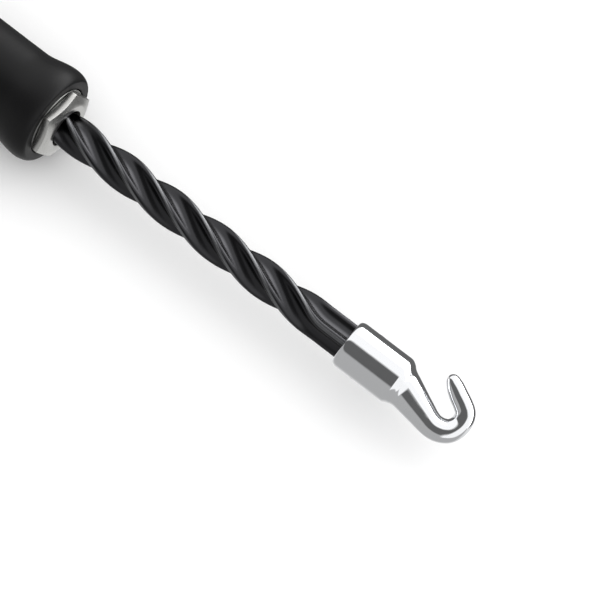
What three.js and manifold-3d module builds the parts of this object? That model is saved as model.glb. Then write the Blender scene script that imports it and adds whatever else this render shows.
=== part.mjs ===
// A spring-return wire-tie twister. Pulling the grip draws a four-start twisted shaft out of the
// handle through a fixed nut, which spins the hook; a spring pulls the shaft back in.
// Millimetres. While it is built, +X runs along the tool to the hook, and X = 0 lies inside the
// handle's hexagon. At the end the tool is laid on its grip with +Z up.
import * as THREE from "three";
import { mergeVertices } from "three/addons/utils/BufferGeometryUtils.js";
import Module from "manifold-3d";

const wasm = await Module();
wasm.setup();

// ---- driving dimensions ----
const CLEARANCE = 0.3; // between pieces that touch or slide

// shaft: a bar of four rounded lobes with hollow flutes between them
const SHAFT_R = 5.0; // over the lobes
const LOBES = 4;
const LOBE_R = 1.1; // rounding of each lobe
const FLUTE_BOTTOM_R = 2.75; // from the axis to the bottom of a flute
const LEAD = 60.2; // advance for one turn of a lobe
const TWIST_END_X = 83.3; // the lobes run straight from here to the hook
const LOBE_ANGLE = 123.4; // of one straight lobe, in degrees from +Y towards +Z
const TWIST_STEP = 4.2; // length of one facet along the twist
const JOURNAL_R = 3.0; // plain rear end

// handle
const STROKE = 85.0; // travel of the shaft
const TUBE_R = 9.5;
const TUBE_WALL = 1.5;
const BORE_R = 5.4; // hole in the hexagon
const HEX_FLATS = 18.0; // spanner size
const HEX_FRONT_X = 2.2;
const HEX_THICK = 2.9;
const HEX_FACE_R = 7.0; // flat part of the hexagon's face, inside the cone
const HEX_CONE_SLOPE = 0.36;
const WASHER_THICK = 0.9;
const WASHER_R = 9.7;
const BUSH_SHANK = 9.5; // length screwed into the tube
const NUT_LENGTH = 12.0;
const GRUB_R = 1.5;
const GRUB_LENGTH = 2.6;
const SEAT_THICK = 1.2;

// grip sleeve
const GRIP_NOSE_R = 13.8; // front and rear bulges
const GRIP_WAIST_R = 12.35;
const GRIP_NOSE_X = -4.8; // middle of the front bulge
const GRIP_WAIST_X = -14.0; // where the front bulge has died away
const GRIP_PALM_R = 13.1; // swell in the palm
const GRIP_LIP_R = 12.0; // outside of the flat ring at the nose
const GRIP_SEGMENTS = 24;

// spring and follower
const SPRING_WIRE_R = 0.6;
const SPRING_COILS = 14;
const SPRING_SOLID = 18.0; // length when fully pressed
const PISTON_LENGTH = 6.0;
const THRUST_THICK = 1.0;
const END_WASHER_THICK = 1.0;
const END_NUT_FLATS = 10.0;
const END_NUT_THICK = 4.5;
const BUFFER_THICK = 3.0;

// rear closure
const PLUG_LENGTH = 6.0;
const CAP_THICK = 3.4;
const CAP_R = 12.2;
const CAP_SCREW_R = 1.5;
const CAP_SCREW_HEAD_R = 3.0;
const CAP_SCREW_HEAD_THICK = 1.6;
const CAP_SCREW_LENGTH = 6.0;

// hook
const SOCKET_R = 6.6;
const SOCKET_X = 92.6; // rear rim
const SOCKET_LENGTH = 16.9;
const SOCKET_RIM = 1.7; // length of the rounded rear rim
const SOCKET_SHOULDER = 1.4; // radius of the rounded front shoulder
const SHAFT_IN_SOCKET = 12.0;
const PIN_R = 1.25;
const PIN_X = 99.0;
const HOOK_PLANE_ANGLE = 23.4; // direction of the hook's mouth, in degrees from +Y towards +Z
// the middle of the hook's round bar: [along the tool, towards the mouth, bar radius]
const HOOK_PATH = [
  [105.9, 0.6, 5.7],
  [109.7, -0.25, 5.1],
  [112.5, -1.06, 4.63],
  [115.5, -1.98, 4.13],
  [118.05, -2.72, 3.73],
  [120.1, -3.33, 3.42],
  [122.0, -3.66, 3.26],
  [123.7, -3.5, 3.18],
  [125.15, -2.95, 3.08],
  [126.5, -1.85, 2.95],
  [127.4, 0.5, 2.7],
  [127.3, 2.5, 2.62],
  [126.55, 3.95, 2.55],
  [125.15, 5.0, 2.5],
  [122.85, 6.25, 2.42],
  [121.0, 7.4, 2.2],
  [119.65, 8.3, 1.75],
];

// ---- places that follow from them ----
const TUBE_BORE_R = TUBE_R - TUBE_WALL;
const INNER_R = TUBE_BORE_R - CLEARANCE; // what fits in the tube
const HEX_REAR_X = HEX_FRONT_X - HEX_THICK;
const WASHER_X = HEX_REAR_X - CLEARANCE;
const TUBE_FRONT_X = WASHER_X - WASHER_THICK - CLEARANCE;
const BUSH_REAR_X = TUBE_FRONT_X - BUSH_SHANK;
const NUT_FRONT_X = BUSH_REAR_X - CLEARANCE;
const NUT_REAR_X = NUT_FRONT_X - NUT_LENGTH;
const SEAT_FRONT_X = NUT_REAR_X - CLEARANCE;
const SPRING_FRONT_X = SEAT_FRONT_X - SEAT_THICK - CLEARANCE;
const SPRING_REAR_X = SPRING_FRONT_X - STROKE - SPRING_SOLID;
const PISTON_FRONT_X = SPRING_REAR_X - CLEARANCE;
const THRUST_FRONT_X = PISTON_FRONT_X - PISTON_LENGTH - CLEARANCE;
const END_WASHER_FRONT_X = THRUST_FRONT_X - THRUST_THICK - CLEARANCE;
const END_NUT_FRONT_X = END_WASHER_FRONT_X - END_WASHER_THICK - CLEARANCE;
const SHAFT_REAR_X = END_NUT_FRONT_X - END_NUT_THICK - 1.2;
const BUFFER_FRONT_X = SHAFT_REAR_X - CLEARANCE;
const PLUG_FRONT_X = BUFFER_FRONT_X - BUFFER_THICK - CLEARANCE;
const TUBE_REAR_X = PLUG_FRONT_X - PLUG_LENGTH;
const CAP_FRONT_X = TUBE_REAR_X - CLEARANCE;
const BUTT_X = CAP_FRONT_X - CAP_THICK;
const JOURNAL_FRONT_X = PISTON_FRONT_X + 1.5;
const JOURNAL_HOLE_R = JOURNAL_R + CLEARANCE;
const SLEEVE_HOLE_R = TUBE_R + CLEARANCE;
const SLEEVE_MOUTH_R = WASHER_R + CLEARANCE; // the washer lies in the sleeve's mouth
const GRIP_FRONT_X = WASHER_X;

// ---- materials ----
const finish = (color, roughness, metalness) =>
  new THREE.MeshStandardMaterial({ color, roughness, metalness });
const softGrip = () => finish(0x161616, 0.6, 0);
const zincPlate = () => finish(0xc9cac8, 0.35, 1);
const blackOxide = () => finish(0x2a2a2b, 0.4, 0.9);
const brightChrome = () => finish(0xd8dadb, 0.08, 1);
const plainSteel = () => finish(0x8d8f91, 0.4, 1);
const bronze = () => finish(0xa7783f, 0.4, 1);
const springSteel = () => finish(0x6f7376, 0.35, 1);
const blackNylon = () => finish(0x1b1b1c, 0.55, 0);
const bufferRubber = () => finish(0x202020, 0.9, 0);

// ---- geometry tools ----
const radians = THREE.MathUtils.degToRad;

function piece(name, geometry, material) {
  const mesh = new THREE.Mesh(geometry, material);
  mesh.name = name;
  return mesh;
}

// A closed outline turned about the tool's axis. Points are [x, radius].
function turned(outline, segments = 32, phase = Math.PI / segments) {
  let area = 0;
  outline.forEach(([x, r], i) => {
    const [nextX, nextR] = outline[(i + 1) % outline.length];
    area += x * nextR - nextX * r;
  });
  const ordered = area < 0 ? outline : [...outline].reverse();
  const points = ordered.map(([x, r]) => new THREE.Vector2(r, x));
  const onAxis = ordered[0][1] === 0 && ordered[ordered.length - 1][1] === 0;
  if (!onAxis) points.push(points[0].clone());
  return new THREE.LatheGeometry(points, segments, phase).rotateZ(-Math.PI / 2);
}

// A ring or a tube between two places, with the hole's radius first.
const ring = (rearX, frontX, holeR, outerR, segments = 32) =>
  turned([[rearX, holeR], [rearX, outerR], [frontX, outerR], [frontX, holeR]], segments);

// A round bar, with chamfered ends if asked.
function bar(rearX, frontX, radius, chamfer = 0, segments = 24) {
  const outline = [[rearX, 0], [rearX, radius - chamfer]];
  if (chamfer) outline.push([rearX + chamfer, radius], [frontX - chamfer, radius]);
  outline.push([frontX, radius - chamfer], [frontX, 0]);
  return turned(outline, segments);
}

// A skin through rings of points, closed at both ends.
function lofted(rings) {
  const count = rings[0].length;
  const points = rings.flat();
  const faces = [];
  for (let k = 0; k + 1 < rings.length; k++)
    for (let i = 0; i < count; i++) {
      const a = k * count + i;
      const b = k * count + ((i + 1) % count);
      faces.push(a, b, b + count, a, b + count, a + count);
    }
  const middle = (r) =>
    r.reduce((sum, p) => sum.add(p), new THREE.Vector3()).divideScalar(count);
  const first = points.push(middle(rings[0])) - 1;
  const last = points.push(middle(rings[rings.length - 1])) - 1;
  const top = (rings.length - 1) * count;
  for (let i = 0; i < count; i++) {
    const next = (i + 1) % count;
    faces.push(first, next, i, last, top + i, top + next);
  }
  const geometry = new THREE.BufferGeometry().setFromPoints(points);
  geometry.setIndex(faces);
  return geometry;
}

// A three.js geometry as a manifold-3d solid.
function solid(geometry) {
  const bare = geometry.clone();
  bare.deleteAttribute("normal");
  bare.deleteAttribute("uv");
  const merged = mergeVertices(bare, 1e-4);
  const kept = [];
  const index = merged.index.array;
  for (let i = 0; i < index.length; i += 3) {
    const [a, b, c] = index.slice(i, i + 3);
    if (a !== b && b !== c && c !== a) kept.push(a, b, c);
  }
  const vertProperties = merged.attributes.position.array;
  const triVerts = new Uint32Array(kept);
  return new wasm.Manifold(new wasm.Mesh({ numProp: 3, vertProperties, triVerts }));
}

// A manifold-3d solid as a three.js geometry.
function geometryOf(made) {
  const mesh = made.getMesh();
  const geometry = new THREE.BufferGeometry();
  const positions = new THREE.BufferAttribute(mesh.vertProperties, 3);
  geometry.setAttribute("position", positions);
  geometry.setIndex(new THREE.BufferAttribute(mesh.triVerts, 1));
  return geometry;
}

const cut = (body, ...tools) =>
  geometryOf(tools.reduce((left, tool) => left.subtract(solid(tool)), solid(body)));
const join = (body, ...more) =>
  geometryOf(more.reduce((whole, part) => whole.add(solid(part)), solid(body)));

// A hexagonal prism with two flats facing up and down.
function hexagon(rearX, frontX, flats) {
  const cornerR = flats / 2 / Math.cos(Math.PI / 6);
  return turned([[rearX, 0], [rearX, cornerR], [frontX, cornerR], [frontX, 0]], 6, Math.PI / 6);
}

// A round bar across the axis, at an angle from +Y towards +Z.
function crossBar(x, radius, from, to, angle, segments = 16) {
  const geometry = new THREE.CylinderGeometry(radius, radius, to - from, segments);
  geometry.translate(0, (from + to) / 2, 0);
  geometry.rotateX(radians(angle));
  geometry.translate(x, 0, 0);
  return geometry;
}

// ---- the lobed section ----
// Lobe arcs and flute arcs touch each other, so one flute radius fits the other sizes.
function lobedSection(x, angle, gap = 0) {
  const lobeMiddle = SHAFT_R - LOBE_R;
  const half = Math.PI / LOBES;
  const k = lobeMiddle * Math.cos(half);
  const offset = FLUTE_BOTTOM_R - LOBE_R;
  const fluteMiddle = (lobeMiddle ** 2 - offset ** 2) / (2 * (k - offset));
  const fluteR = fluteMiddle - FLUTE_BOTTOM_R;
  const towards = Math.atan2(
    fluteMiddle * Math.sin(half),
    fluteMiddle * Math.cos(half) - lobeMiddle,
  );
  const fluteHalf = towards - half;
  const section = [];
  for (let lobe = 0; lobe < LOBES; lobe++) {
    const turn = radians(angle) + lobe * 2 * half;
    const place = (r, at, arcR, arcAngle) => {
      const y = r * Math.cos(at) + arcR * Math.cos(arcAngle);
      const z = r * Math.sin(at) + arcR * Math.sin(arcAngle);
      section.push(new THREE.Vector3(x, y, z));
    };
    for (let i = -2; i <= 2; i++)
      place(lobeMiddle, turn, LOBE_R + gap, turn + (i / 2) * towards);
    for (const side of [1, -1])
      place(fluteMiddle, turn + half, fluteR - gap, turn + half + Math.PI + (side * fluteHalf) / 3);
  }
  return section;
}

// The section's angle at a place along the tool, in degrees.
const lobeAngleAt = (x) => LOBE_ANGLE - (360 / LEAD) * Math.max(0, TWIST_END_X - x);

function lobedBar(rearX, frontX, gap = 0) {
  const stops = [rearX];
  const twistedTo = Math.min(frontX, TWIST_END_X);
  const steps = Math.max(1, Math.round((twistedTo - rearX) / TWIST_STEP));
  for (let i = 1; i <= steps; i++) stops.push(rearX + ((twistedTo - rearX) * i) / steps);
  if (frontX > twistedTo) stops.push(frontX);
  return lofted(stops.map((x) => lobedSection(x, lobeAngleAt(x), gap)));
}

// ---- handle ----
function gripSleeve() {
  const outline = [
    [TUBE_FRONT_X, SLEEVE_HOLE_R], [TUBE_FRONT_X, SLEEVE_MOUTH_R],
    [GRIP_FRONT_X, SLEEVE_MOUTH_R], [GRIP_FRONT_X, GRIP_LIP_R],
  ];
  // the nose is a quarter of an ellipse from the lip to the fullest part of the bulge
  const noseSteps = 5;
  for (let i = 1; i <= noseSteps; i++) {
    const t = (Math.PI / 2) * (i / noseSteps);
    const x = GRIP_NOSE_X + (GRIP_FRONT_X - GRIP_NOSE_X) * Math.cos(t);
    outline.push([x, GRIP_LIP_R + (GRIP_NOSE_R - GRIP_LIP_R) * Math.sin(t)]);
  }
  // eased from one radius to the next: bulge, waist, palm swell, rear waist, rear bulge
  const rearBulgeX = CAP_FRONT_X + 7.0;
  const palmX = (GRIP_WAIST_X + rearBulgeX) / 2 - 6.0;
  const rearWaistX = rearBulgeX + 19.0;
  const stations = [
    [GRIP_NOSE_X, GRIP_NOSE_R],
    [GRIP_WAIST_X, GRIP_WAIST_R],
    [palmX, GRIP_PALM_R],
    [rearWaistX, GRIP_WAIST_R + 0.3],
    [rearBulgeX, GRIP_NOSE_R],
  ];
  for (let i = 0; i + 1 < stations.length; i++) {
    const [fromX, fromR] = stations[i];
    const [toX, toR] = stations[i + 1];
    for (let step = 1; step <= 4; step++) {
      const ease = (1 - Math.cos((Math.PI * step) / 4)) / 2;
      outline.push([fromX + ((toX - fromX) * step) / 4, fromR + (toR - fromR) * ease]);
    }
  }
  for (let i = 1; i <= 4; i++) {
    const t = (Math.PI / 2) * (i / 4);
    const x = rearBulgeX + (CAP_FRONT_X + CLEARANCE - rearBulgeX) * Math.sin(t);
    outline.push([x, CAP_R + (GRIP_NOSE_R - CAP_R) * Math.cos(t)]);
  }
  outline.push([CAP_FRONT_X + CLEARANCE, SLEEVE_HOLE_R]);
  return piece("grip_sleeve", turned(outline, GRIP_SEGMENTS), softGrip());
}

const GRUB_X = NUT_FRONT_X - NUT_LENGTH / 2;
const GRUBS = [["drive_nut_screw_left", 90], ["drive_nut_screw_right", 270]];

function handleTube() {
  const tube = ring(TUBE_REAR_X, TUBE_FRONT_X, TUBE_BORE_R, TUBE_R);
  const holes = GRUBS.map(([, angle]) =>
    crossBar(GRUB_X, GRUB_R + CLEARANCE, TUBE_BORE_R - 1, TUBE_R + 1, angle));
  return piece("handle_tube", cut(tube, ...holes), plainSteel());
}

function hexEndBush() {
  const head = hexagon(HEX_REAR_X, HEX_FRONT_X, HEX_FLATS);
  // a cone that takes the front corners off, as a lathe does
  const coneR = HEX_FLATS;
  const coneX = HEX_FRONT_X - HEX_CONE_SLOPE * (coneR - HEX_FACE_R);
  const cone = turned([
    [HEX_REAR_X - coneR, 0], [HEX_REAR_X - coneR, coneR], [coneX, coneR],
    [HEX_FRONT_X, HEX_FACE_R], [HEX_FRONT_X, 0],
  ], 48);
  const chamfered = solid(head).intersect(solid(cone));
  const shank = bar(BUSH_REAR_X, HEX_REAR_X + 0.5, INNER_R, 0, 32);
  const hole = bar(BUSH_REAR_X - 1, HEX_FRONT_X + 1, BORE_R, 0, 32);
  const bush = chamfered.add(solid(shank)).subtract(solid(hole));
  return piece("hex_end_bush", geometryOf(bush), zincPlate());
}

function bushWasher() {
  const washer = ring(WASHER_X - WASHER_THICK, WASHER_X, INNER_R + CLEARANCE, WASHER_R);
  return piece("bush_washer", washer, zincPlate());
}

function driveNut() {
  const blank = bar(NUT_REAR_X, NUT_FRONT_X, INNER_R, 0.4, 32);
  const bore = lobedBar(NUT_REAR_X - 1, NUT_FRONT_X + 1, CLEARANCE);
  const pockets = GRUBS.map(([, angle]) =>
    crossBar(GRUB_X, GRUB_R + CLEARANCE, INNER_R - 1, INNER_R + 1, angle));
  return piece("drive_nut", cut(blank, bore, ...pockets), plainSteel());
}

function driveNutScrew([name, angle]) {
  const foot = TUBE_R - GRUB_LENGTH;
  const screw = crossBar(GRUB_X, GRUB_R, foot + CLEARANCE, TUBE_R, angle);
  const key = crossBar(GRUB_X, 0.8, TUBE_R - 1.2, TUBE_R + 1, angle, 6);
  return piece(name, cut(screw, key), blackOxide());
}

function springFrontSeat() {
  const seat = ring(SEAT_FRONT_X - SEAT_THICK, SEAT_FRONT_X, SHAFT_R + CLEARANCE, INNER_R);
  return piece("spring_front_seat", seat, plainSteel());
}

function returnSpring() {
  const coilR = INNER_R - SPRING_WIRE_R;
  const frontX = SPRING_FRONT_X - SPRING_WIRE_R;
  const rearX = SPRING_REAR_X + SPRING_WIRE_R;
  class Coil extends THREE.Curve {
    getPoint(t, target = new THREE.Vector3()) {
      const turn = t * SPRING_COILS * 2 * Math.PI;
      const x = rearX + (frontX - rearX) * t;
      return target.set(x, coilR * Math.cos(turn), coilR * Math.sin(turn));
    }
  }
  const wire = new THREE.Shape();
  const sides = 5;
  for (let i = 0; i < sides; i++) {
    const a = (i * 2 * Math.PI) / sides;
    const [u, v] = [SPRING_WIRE_R * Math.cos(a), SPRING_WIRE_R * Math.sin(a)];
    if (i) wire.lineTo(u, v);
    else wire.moveTo(u, v);
  }
  const geometry = new THREE.ExtrudeGeometry(wire, {
    steps: SPRING_COILS * 11,
    bevelEnabled: false,
    extrudePath: new Coil(),
  });
  return piece("return_spring", geometry, springSteel());
}

function rearBuffer() {
  const pad = bar(BUFFER_FRONT_X - BUFFER_THICK, BUFFER_FRONT_X, INNER_R, 0.5);
  return piece("rear_buffer", pad, bufferRubber());
}

function endPlug() {
  const plug = bar(PLUG_FRONT_X - PLUG_LENGTH, PLUG_FRONT_X, INNER_R, 0.4);
  const hole = bar(PLUG_FRONT_X - PLUG_LENGTH - 1, PLUG_FRONT_X - 1, CAP_SCREW_R + CLEARANCE, 0, 16);
  return piece("end_plug", cut(plug, hole), plainSteel());
}

function endCap() {
  const edge = 1.4;
  const outline = [[CAP_FRONT_X, 0], [CAP_FRONT_X, CAP_R]];
  for (let i = 0; i <= 4; i++) {
    const t = (Math.PI / 2) * (i / 4);
    outline.push([BUTT_X + edge * (1 - Math.sin(t)), CAP_R - edge * (1 - Math.cos(t))]);
  }
  outline.push([BUTT_X, 0]);
  const cap = turned(outline, GRIP_SEGMENTS);
  const sinkDepth = CAP_SCREW_HEAD_THICK + CLEARANCE;
  const sink = bar(BUTT_X - 1, BUTT_X + sinkDepth, CAP_SCREW_HEAD_R + CLEARANCE);
  const hole = bar(BUTT_X, CAP_FRONT_X + 1, CAP_SCREW_R + CLEARANCE, 0, 16);
  return piece("end_cap", cut(cap, sink, hole), blackNylon());
}

function endCapScrew() {
  const headX = BUTT_X + CAP_SCREW_HEAD_THICK;
  const head = bar(BUTT_X, headX, CAP_SCREW_HEAD_R, 0.3);
  const shank = bar(headX - 0.5, headX + CAP_SCREW_LENGTH, CAP_SCREW_R, 0, 16);
  const slots = [0, 90].map((angle) => {
    const slot = new THREE.BoxGeometry(1.0, 3.4, 0.6);
    return slot.rotateX(radians(angle)).translate(BUTT_X + 0.3, 0, 0);
  });
  const screw = solid(join(head, shank));
  const driven = slots.reduce((left, slot) => left.subtract(solid(slot)), screw);
  return piece("end_cap_screw", geometryOf(driven), zincPlate());
}

// ---- follower: slides with the shaft and does not turn ----
function followerPiston() {
  const rearX = PISTON_FRONT_X - PISTON_LENGTH;
  const piston = turned([
    [rearX, JOURNAL_HOLE_R], [rearX, INNER_R - 0.4], [rearX + 0.4, INNER_R],
    [PISTON_FRONT_X - 2.0, INNER_R], [PISTON_FRONT_X - 2.0, INNER_R - 1.2],
    [PISTON_FRONT_X, INNER_R - 1.2], [PISTON_FRONT_X, JOURNAL_HOLE_R],
  ]);
  return piece("follower_piston", piston, blackNylon());
}

function thrustWasher() {
  const washer = ring(THRUST_FRONT_X - THRUST_THICK, THRUST_FRONT_X, JOURNAL_HOLE_R, INNER_R - 0.6);
  return piece("thrust_washer", washer, bronze());
}

// ---- spindle: slides and turns ----
function spiralShaft() {
  const lobed = lobedBar(JOURNAL_FRONT_X, SOCKET_X + SHAFT_IN_SOCKET);
  const journal = bar(SHAFT_REAR_X, JOURNAL_FRONT_X + 1, JOURNAL_R, 0.5);
  const pinHole = crossBar(
    PIN_X, PIN_R + CLEARANCE, -SOCKET_R - 1, SOCKET_R + 1, HOOK_PLANE_ANGLE);
  const shaft = solid(lobed).add(solid(journal)).subtract(solid(pinHole));
  return piece("spiral_shaft", geometryOf(shaft), blackOxide());
}

function shaftEndWasher() {
  const rearX = END_WASHER_FRONT_X - END_WASHER_THICK;
  const washer = ring(rearX, END_WASHER_FRONT_X, JOURNAL_HOLE_R, INNER_R - 1.2, 24);
  return piece("shaft_end_washer", washer, zincPlate());
}

function shaftEndNut() {
  const rearX = END_NUT_FRONT_X - END_NUT_THICK;
  const blank = hexagon(rearX, END_NUT_FRONT_X, END_NUT_FLATS);
  const hole = bar(rearX - 1, END_NUT_FRONT_X + 1, JOURNAL_HOLE_R);
  return piece("shaft_end_nut", cut(blank, hole), zincPlate());
}

function hookArm() {
  const middle = new THREE.CatmullRomCurve3(
    HOOK_PATH.map(([x, u]) => new THREE.Vector3(x, u, 0)), false, "centripetal");
  const thickness = new THREE.CatmullRomCurve3(
    HOOK_PATH.map(([x, u, r]) => new THREE.Vector3(x, u, r)), false, "centripetal");
  const sides = 16;
  const steps = 28;
  const section = (centre, along, radius) => {
    const across = new THREE.Vector3(-along.y, along.x, 0);
    const points = [];
    for (let i = 0; i < sides; i++) {
      const a = (i * 2 * Math.PI) / sides;
      const point = centre.clone().addScaledVector(across, radius * Math.cos(a));
      point.z += radius * Math.sin(a);
      points.push(point);
    }
    return points;
  };
  const rings = [];
  for (let k = 0; k <= steps; k++) {
    const t = k / steps;
    rings.push(section(middle.getPoint(t), middle.getTangent(t), thickness.getPoint(t).z));
  }
  // a round tip
  const tip = middle.getPoint(1);
  const along = middle.getTangent(1);
  const tipR = HOOK_PATH[HOOK_PATH.length - 1][2];
  for (const angle of [30, 60, 80]) {
    const centre = tip.clone().addScaledVector(along, tipR * Math.sin(radians(angle)));
    rings.push(section(centre, along, tipR * Math.cos(radians(angle))));
  }
  return lofted(rings).rotateX(radians(HOOK_PLANE_ANGLE));
}

function hook() {
  const outline = [[SOCKET_X, 0], [SOCKET_X, SHAFT_R + 0.5]];
  for (let i = 1; i <= 3; i++) {
    const t = (Math.PI / 2) * (i / 3);
    const x = SOCKET_X + SOCKET_RIM * (1 - Math.cos(t));
    outline.push([x, SHAFT_R + 0.5 + (SOCKET_R - SHAFT_R - 0.5) * Math.sin(t)]);
  }
  const frontX = SOCKET_X + SOCKET_LENGTH;
  for (let i = 0; i <= 3; i++) {
    const t = (Math.PI / 2) * (i / 3);
    const x = frontX - SOCKET_SHOULDER * (1 - Math.sin(t));
    outline.push([x, SOCKET_R - SOCKET_SHOULDER * (1 - Math.cos(t))]);
  }
  outline.push([frontX, 0]);
  const bore = bar(SOCKET_X - 1, SOCKET_X + SHAFT_IN_SOCKET + CLEARANCE, SHAFT_R + CLEARANCE);
  const pinHole = crossBar(
    PIN_X, PIN_R + CLEARANCE, -SOCKET_R - 1, SOCKET_R + 1, HOOK_PLANE_ANGLE);
  const socket = solid(turned(outline)).add(solid(hookArm()));
  const made = socket.subtract(solid(bore)).subtract(solid(pinHole));
  return piece("hook", geometryOf(made), brightChrome());
}

function hookPin() {
  const reach = SOCKET_R - 0.1;
  const pin = crossBar(PIN_X, PIN_R, -reach, reach, HOOK_PLANE_ANGLE);
  return piece("hook_pin", pin, brightChrome());
}

// ---- the tool ----
const handle = new THREE.Group();
handle.add(gripSleeve(), handleTube(), hexEndBush(), bushWasher(), driveNut());
handle.add(...GRUBS.map(driveNutScrew));
handle.add(springFrontSeat(), returnSpring(), rearBuffer(), endPlug(), endCap(), endCapScrew());

const follower = new THREE.Group();
follower.add(followerPiston(), thrustWasher());

const spindle = new THREE.Group();
spindle.add(spiralShaft(), shaftEndWasher(), shaftEndNut(), hook(), hookPin());

const tool = new THREE.Group();
tool.add(handle, follower, spindle);

// lying on its grip, with the origin under the middle of the whole tool
const extent = new THREE.Box3().setFromObject(tool);
const centre = extent.getCenter(new THREE.Vector3());
tool.position.set(-centre.x, -centre.y, -extent.min.z);

const group = new THREE.Group();
group.add(tool);

export default group;
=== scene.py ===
"""A spring-return wire-tie twister lying on a pale table, drawn over its CAD frame.

Sizes in the settings are metres. Outlines are written in millimetres along the tool, with
x = 0 just behind the front of the spanner hexagon, and place() puts them in the frame.
"""
import math

import bmesh
import bpy
import numpy as np
from bpy.props import FloatProperty, FloatVectorProperty, PointerProperty
from mathutils import Matrix, Vector


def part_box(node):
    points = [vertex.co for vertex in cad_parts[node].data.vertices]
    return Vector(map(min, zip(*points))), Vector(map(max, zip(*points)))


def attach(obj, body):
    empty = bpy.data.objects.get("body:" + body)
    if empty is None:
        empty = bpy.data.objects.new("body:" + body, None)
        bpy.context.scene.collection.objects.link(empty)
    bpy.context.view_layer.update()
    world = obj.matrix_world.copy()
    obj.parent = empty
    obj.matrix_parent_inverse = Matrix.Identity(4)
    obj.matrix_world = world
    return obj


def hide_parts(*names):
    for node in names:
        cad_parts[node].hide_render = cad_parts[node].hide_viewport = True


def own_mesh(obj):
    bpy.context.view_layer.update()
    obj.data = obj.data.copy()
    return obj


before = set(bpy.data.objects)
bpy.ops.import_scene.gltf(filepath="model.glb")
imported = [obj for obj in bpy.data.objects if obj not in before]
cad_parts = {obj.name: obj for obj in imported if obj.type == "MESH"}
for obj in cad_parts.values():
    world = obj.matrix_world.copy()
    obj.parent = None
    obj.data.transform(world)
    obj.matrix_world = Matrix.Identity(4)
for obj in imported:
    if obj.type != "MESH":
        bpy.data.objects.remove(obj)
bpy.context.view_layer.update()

bl_info = {
    "name": "Wire Tie Twister",
    "version": (1, 0, 0),
    "blender": (4, 5, 0),
    "location": "3D View > Sidebar > Wire Twister",
    "description": "Builds the grip, hexagon, twisted shaft and hook of a wire-tie twister",
    "category": "Object",
}

MM = 0.001
GAP = 0.3  # between pieces that touch or slide
SOCKET_LENGTH = 16.9  # of the hook's socket, along the tool

# ---- places taken from the frame ----
BUSH_LOW, BUSH_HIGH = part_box("hex_end_bush")
HEX_FRONT = 2.2  # front face of the hexagon, from the datum
AXIS_Z = (BUSH_LOW.z + BUSH_HIGH.z) / 2
DATUM_X = BUSH_HIGH.x - HEX_FRONT * MM


def place(x, y, z):
    """A point in the frame, from millimetres along the tool, across it and up from its axis."""
    return (DATUM_X + x * MM, y * MM, AXIS_Z + z * MM)


def along(node):
    """Where a CAD node starts and ends along the tool, in millimetres from the datum."""
    low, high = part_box(node)
    return (low.x - DATUM_X) / MM, (high.x - DATUM_X) / MM


def across(node):
    """Largest radius of a round CAD node about the tool's axis, in millimetres."""
    low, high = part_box(node)
    return (high.y - low.y) / 2 / MM


# ---- colour and nodes ----
def linear(hex_colour):
    """An sRGB hex colour as linear red, green and blue."""
    values = [int(hex_colour[i : i + 2], 16) / 255 for i in (1, 3, 5)]
    return tuple(v / 12.92 if v <= 0.04045 else ((v + 0.055) / 1.055) ** 2.4 for v in values)


def add_node(tree, kind, inputs=None, stops=None, **settings):
    """Adds a node with its settings. An input is a value or the socket that feeds it.

    Stops fill a colour ramp, each with a position and a shade or colour.
    """
    node = tree.nodes.new(kind)
    for name, value in settings.items():
        setattr(node, name, value)
    for name, value in (inputs or {}).items():
        if isinstance(value, bpy.types.NodeSocket):
            tree.links.new(value, node.inputs[name])
        else:
            node.inputs[name].default_value = value
    if stops:
        elements = node.color_ramp.elements
        while len(elements) < len(stops):
            elements.new(1.0)
        for element, (position, shade) in zip(elements, stops):
            element.position = position
            element.color = (shade, shade, shade, 1) if isinstance(shade, float) else (*shade, 1)
    return node


def new_material(name, **principled):
    """A material with its Principled shader, whose constants sit on the shader's own sockets."""
    material = bpy.data.materials.new(name)
    material.use_nodes = True
    tree = material.node_tree
    shader = tree.nodes["Principled BSDF"]
    for socket, value in principled.items():
        shader.inputs[socket.replace("_", " ")].default_value = value
    return material, tree, shader


def grain(tree, shader, size_mm, stretch=(1, 1, 1), depth_mm=0.01, detail=3.0):
    """Feeds the shader a bump whose grains are size_mm across, and returns the noise."""
    where = add_node(tree, "ShaderNodeTexCoord")
    scaled = add_node(
        tree, "ShaderNodeMapping", {"Vector": where.outputs["Object"], "Scale": stretch}
    )
    noise = add_node(
        tree,
        "ShaderNodeTexNoise",
        {"Vector": scaled.outputs[0], "Scale": 1 / (size_mm * MM), "Detail": detail},
    )
    bump = add_node(
        tree,
        "ShaderNodeBump",
        {"Height": noise.outputs["Fac"], "Distance": depth_mm * MM, "Strength": 1.0},
    )
    tree.links.new(bump.outputs["Normal"], shader.inputs["Normal"])
    return noise


def vary(tree, socket, source, low, high):
    """Drives a socket between two values with a noise."""
    spread = add_node(
        tree,
        "ShaderNodeMapRange",
        {"Value": source.outputs["Fac"], "From Min": 0.3, "From Max": 0.7,
         "To Min": low, "To Max": high},
    )
    tree.links.new(spread.outputs[0], socket)


def blend_colours(tree, socket, source, first, second, start=0.3, end=0.7):
    """Drives a colour socket between two colours with a value."""
    ramp = add_node(
        tree, "ShaderNodeValToRGB", {"Fac": source}, stops=[(start, first), (end, second)]
    )
    tree.links.new(ramp.outputs["Color"], socket)


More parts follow.
